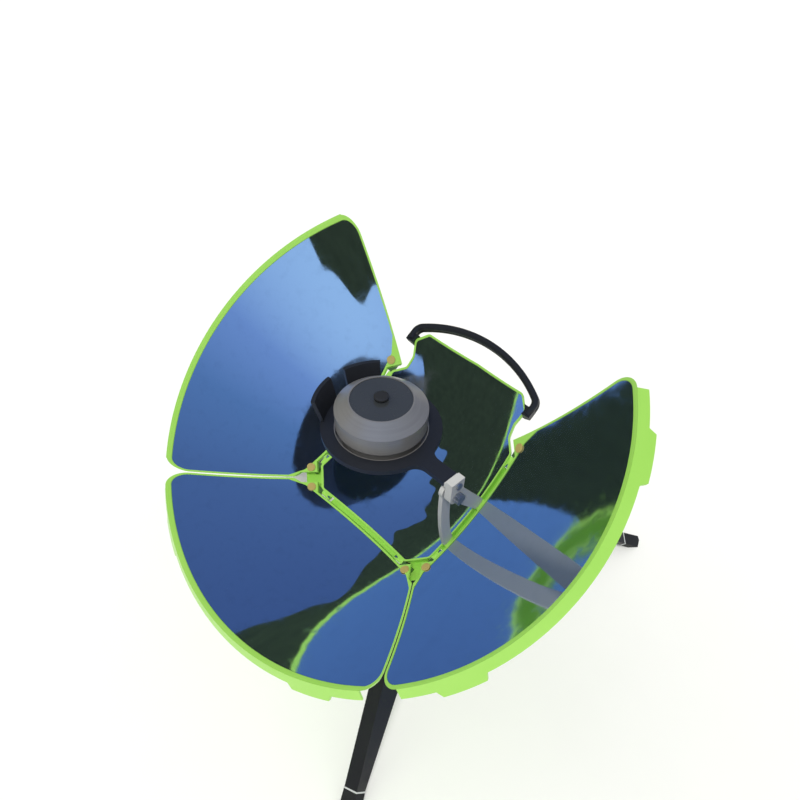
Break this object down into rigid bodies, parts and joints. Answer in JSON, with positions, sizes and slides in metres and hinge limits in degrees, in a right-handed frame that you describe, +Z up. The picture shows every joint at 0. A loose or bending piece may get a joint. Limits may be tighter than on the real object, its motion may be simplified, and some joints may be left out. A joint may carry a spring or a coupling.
{
  "type": "folding solar cooker",
  "caption": "Parabolic solar cooker: a mirror dish of hinged green petals on a low folding tripod, with a lidded pot held in a levelling ring at the focus.",
  "frame": {"origin": "bottom centre of the box round the standing cooker, on the ground", "axes": "+Z up; the dish is tipped towards -Y; +X is the side of the pot fork"},
  "size_m": [0.9209, 0.9465, 0.7576],
  "materials": {
    "mirror": "polished reflective sheet",
    "green_plastic": "moulded satin",
    "dark_green_plastic": "moulded matt",
    "brass": "polished",
    "black_plastic": "moulded matt",
    "rubber": "matt",
    "grey_plastic": "matt",
    "black_paint": "satin black coat",
    "grey_paint": "satin grey coat",
    "pot_steel": "polished",
    "lid_steel": "satin",
    "dark_enamel": "gloss dark coat",
    "knob_plastic": "moulded matt",
    "steel": "plated"
  },
  "bodies": {
    "hub": {"tripod_hub": "black_plastic", "leg_pins": "steel", "swivel_washer": "grey_plastic"},
    "head": {"swivel_head": "black_plastic", "swivel_nut": "steel"},
    "dish": {"panel_frame": "green_plastic", "panel_mirror": "mirror", "carry_handle": "black_plastic", "handle_screws": "steel", "tilt_bracket": "black_plastic", "bracket_screws": "steel", "tilt_bolt": "steel", "hinge_pins": "steel"},
    "tilt_knob": {"tilt_knob": "black_plastic"},
    "stand": {"pot_fork": "grey_paint", "pivot_bolt": "steel", "pivot_washer": "steel"},
    "thumb_nut": {"thumb_nut": "steel"},
    "ring": {"pot_ring": "black_paint", "seat_liner": "pot_steel", "levelling_arm": "grey_paint", "clamp_screw": "steel"},
    "pot": {"cooking_pot": "pot_steel"},
    "lid": {"pot_lid": "lid_steel", "lid_disc": "dark_enamel", "lid_knob": "knob_plastic"},
    "petal_right": {"petal_right_mirror": "mirror", "petal_right_hinge_blocks": "dark_green_plastic", "petal_right_rivets": "brass", "petal_right_frame": "green_plastic"},
    "petal_left": {"petal_left_mirror": "mirror", "petal_left_hinge_blocks": "dark_green_plastic", "petal_left_rivets": "brass", "petal_left_frame": "green_plastic"},
    "petal_lower": {"petal_lower_mirror": "mirror", "petal_lower_hinge_blocks": "dark_green_plastic", "petal_lower_rivets": "brass", "petal_lower_frame": "green_plastic"},
    "leg_1": {"leg_1_leg": "black_plastic", "leg_1_trim": "grey_plastic", "leg_1_foot": "rubber"},
    "leg_2": {"leg_2_leg": "black_plastic", "leg_2_trim": "grey_plastic", "leg_2_foot": "rubber"},
    "leg_3": {"leg_3_leg": "black_plastic", "leg_3_trim": "grey_plastic", "leg_3_foot": "rubber"}
  },
  "joints": [
    {"name": "head_swivel", "type": "hinge", "parent": "hub", "child": "head", "pos_m": [0.0815, 0.00229, 0.3362], "axis": [0, 0, 1], "range_deg": [-180, 180]},
    {"name": "dish_tilt", "type": "hinge", "parent": "head", "child": "dish", "pos_m": [0.0815, 0.00229, 0.372], "axis": [1, 0, 0], "range_deg": [-34, 24]},
    {"name": "tilt_knob_turn", "type": "hinge", "parent": "dish", "child": "tilt_knob", "pos_m": [0.0415, 0.00229, 0.372], "axis": [1, 0, 0], "range_deg": [-180, 180]},
    {"name": "petal_right_fold", "type": "hinge", "parent": "dish", "child": "petal_right", "pos_m": [0.2225, -0.06149, 0.46655], "axis": [0, -0.829, -0.5592], "range_deg": [0, 40]},
    {"name": "petal_left_fold", "type": "hinge", "parent": "dish", "child": "petal_left", "pos_m": [-0.0595, -0.06149, 0.46655], "axis": [0, 0.829, 0.5592], "range_deg": [0, 40]},
    {"name": "petal_lower_fold", "type": "hinge", "parent": "dish", "child": "petal_lower", "pos_m": [0.0815, -0.17838, 0.38771], "axis": [1, 0, 0], "range_deg": [-40, 0]},
    {"name": "stand_lift_off", "type": "slide", "parent": "dish", "child": "stand", "axis": [0, -0.5592, 0.829], "range_m": [0, 0.04]},
    {"name": "ring_level", "type": "hinge", "parent": "stand", "child": "ring", "pos_m": [0.2185, -0.13124, 0.57237], "axis": [1, 0, 0], "range_deg": [-24, 34]},
    {"name": "thumb_nut_turn", "type": "hinge", "parent": "stand", "child": "thumb_nut", "pos_m": [0.2385, -0.13124, 0.57237], "axis": [1, 0, 0], "range_deg": [-180, 180]},
    {"name": "pot_lift", "type": "slide", "parent": "ring", "child": "pot", "axis": [0, 0, 1], "range_m": [0, 0.1]},
    {"name": "lid_lift", "type": "slide", "parent": "pot", "child": "lid", "axis": [0, 0, 1], "range_m": [0, 0.06]},
    {"name": "leg_1_fold", "type": "hinge", "parent": "hub", "child": "leg_1", "pos_m": [0.1085, -0.04447, 0.3122], "axis": [0.866, 0.5, 0], "range_deg": [0, 50]},
    {"name": "leg_2_fold", "type": "hinge", "parent": "hub", "child": "leg_2", "pos_m": [0.1085, 0.04906, 0.3122], "axis": [-0.866, 0.5, 0], "range_deg": [0, 50]},
    {"name": "leg_3_fold", "type": "hinge", "parent": "hub", "child": "leg_3", "pos_m": [0.0275, 0.00229, 0.3122], "axis": [0, -1, 0], "range_deg": [0, 50]}
  ]
}
